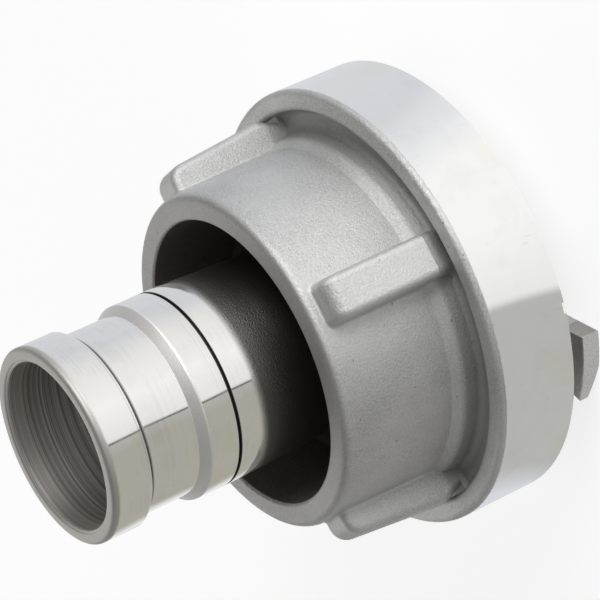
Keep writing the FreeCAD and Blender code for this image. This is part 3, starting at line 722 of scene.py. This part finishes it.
class Studio(bpy.types.Operator):
    """Set up the pale floor, the soft light and the camera"""
    bl_idname = "coupling.studio"
    bl_label = "Studio"

    def execute(self, context):
        look = context.scene.coupling_stage
        select_nothing()
        bpy.ops.mesh.primitive_plane_add(size=6.0, location=(0.0, 0.0, 0.0))
        floor = context.object
        floor.name = floor.data.name = "floor"
        floor.data.materials.append(self.paper(look))
        self.surroundings(context.scene, look)
        centre = (0.0, 0.0, 0.06)
        soft_box("key_light", (0.17, 1.1, 0.33), centre, 0.6, look.key_power)
        soft_box("top_light", (-0.66, -0.62, 0.62), centre, 1.1, look.top_power)
        camera = bpy.data.objects.new("camera", bpy.data.cameras.new("camera"))
        camera.data.lens = look.lens
        camera.data.clip_end = 20.0
        context.scene.collection.objects.link(camera)
        # Solved from the round edges in the photograph
        place = Vector((0.5905, 0.5576, 0.4738))
        view = Vector((-0.6514, -0.602, -0.4613))
        upward = Vector((-0.4794, 0.7986, -0.3644))
        aim(camera, place, place + view, upward)
        context.scene.camera = camera
        context.scene.view_settings.view_transform = "Standard"
        return {"FINISHED"}

    def paper(self, look):
        """Matt white paper.

        It looks white to the camera. To the turned metal's mirrored rays alone it glows with a
        painted white and grey card, and where they meet shows as the sharp line down the band and
        the tail.
        """
        material, tree, surface, place = new_material("white_paper_painted_reflection")
        surface.inputs["Roughness"].default_value = 0.9
        surface.inputs["Specular IOR Level"].default_value = 0.0
        rays = add_node(tree, "LightPath").outputs
        mirrored = add_node(tree, "Math", LARGER, {
            0: rays["Is Glossy Ray"], 1: rays["Is Transmission Ray"]}).outputs[0]
        round_it = add_node(tree, "TexGradient", {"gradient_type": "RADIAL"}, {
            "Vector": place}).outputs["Fac"]
        further_out = add_node(tree, "MapRange", SMOOTH, {
            "Value": radius_and_height(tree, place)[0],
            "From Min": 128 * MM, "From Max": 142 * MM}).outputs[0]
        rings = []
        for tones in (NEAR_REFLECTION_TONES, FAR_REFLECTION_TONES):
            ring = add_node(tree, "ValToRGB", None, {"Fac": round_it})
            stops = ring.color_ramp.elements
            while len(stops) < len(tones):
                stops.new(1.0)
            for stop, (degrees, hex_colour) in zip(stops, tones):
                stop.position = degrees / 360 + 0.5
                stop.color = linear(hex_colour)
            rings.append(ring.outputs["Color"])
        near, far = rings
        # Painted reflection: the mirrored rays see these card tones as the floor's glow
        painted_reflection = coat(tree, near, far, further_out)
        black, white = linear("000000"), linear("FFFFFF")
        tree.links.new(coat(tree, look.floor_colour, black, mirrored),
                       surface.inputs["Base Color"])
        tree.links.new(coat(tree, white, painted_reflection, mirrored), surface.inputs["Emission Color"])
        glow = add_node(tree, "Math", {"operation": "MULTIPLY_ADD"}, {
            0: rays["Is Camera Ray"], 1: look.paper_glow, 2: mirrored}).outputs[0]
        tree.links.new(glow, surface.inputs["Emission Strength"])
        return material

    def surroundings(self, scene, look):
        """A white room for camera and glass, pale walls and a darker ceiling for the rest."""
        world = bpy.data.worlds.new("studio")
        scene.world = world
        world.use_nodes = True
        tree = world.node_tree
        tree.nodes.clear()
        rays = add_node(tree, "LightPath").outputs
        seen = add_node(tree, "Math", LARGER, {
            0: rays["Is Camera Ray"], 1: rays["Is Transmission Ray"]}).outputs[0]
        direction = add_node(tree, "TexCoord").outputs["Generated"]
        up = add_node(tree, "SeparateXYZ", None, {0: direction}).outputs[2]
        room = add_node(tree, "MapRange", SMOOTH, {
            "Value": up, "From Min": 0.3, "From Max": 0.75,
            "To Min": look.wall_level, "To Max": look.room_level}).outputs[0]
        strength = add_node(tree, "Mix", VALUES, {0: seen, 2: room, 3: 1.0}).outputs[0]
        sky = add_node(tree, "Background", None, {
            "Color": linear("FFFFFF"), "Strength": strength}).outputs[0]
        add_node(tree, "OutputWorld", None, {"Surface": sky})


class CouplingPanel(bpy.types.Panel):
    """The coupling's pieces in the 3D view's sidebar"""
    bl_idname = "VIEW3D_PT_coupling"
    bl_label = "Fire hose coupling"
    bl_space_type = "VIEW_3D"
    bl_region_type = "UI"
    bl_category = "Coupling"

    def draw(self, context):
        for settings in SETTINGS:
            group = getattr(context.scene, settings)
            box = self.layout.box()
            for name in group.bl_rna.properties.keys():
                if name not in ("rna_type", "name"):
                    box.prop(group, name)
        for operator in OPERATORS:
            self.layout.operator(operator.bl_idname)


SETTINGS = {
    "coupling_head": CouplingHeadSettings,
    "coupling_tail": CouplingTailSettings,
    "coupling_small": CouplingSmallSettings,
    "coupling_stage": CouplingStageSettings,
}
OPERATORS = (CastHead, HoseTail, SnapRing, LipSeal, Studio)


def register():
    for kind in (*SETTINGS.values(), *OPERATORS, CouplingPanel):
        bpy.utils.register_class(kind)
    for name, kind in SETTINGS.items():
        setattr(bpy.types.Scene, name, bpy.props.PointerProperty(type=kind))


def unregister():
    for name in SETTINGS:
        delattr(bpy.types.Scene, name)
    for kind in (CouplingPanel, *reversed(OPERATORS), *reversed(SETTINGS.values())):
        bpy.utils.unregister_class(kind)


def main():
    register()
    bpy.ops.coupling.cast_head()
    bpy.ops.coupling.hose_tail()
    bpy.ops.coupling.snap_ring()
    bpy.ops.coupling.lip_seal()
    bpy.ops.coupling.studio()


if __name__ == "__main__":
    main()
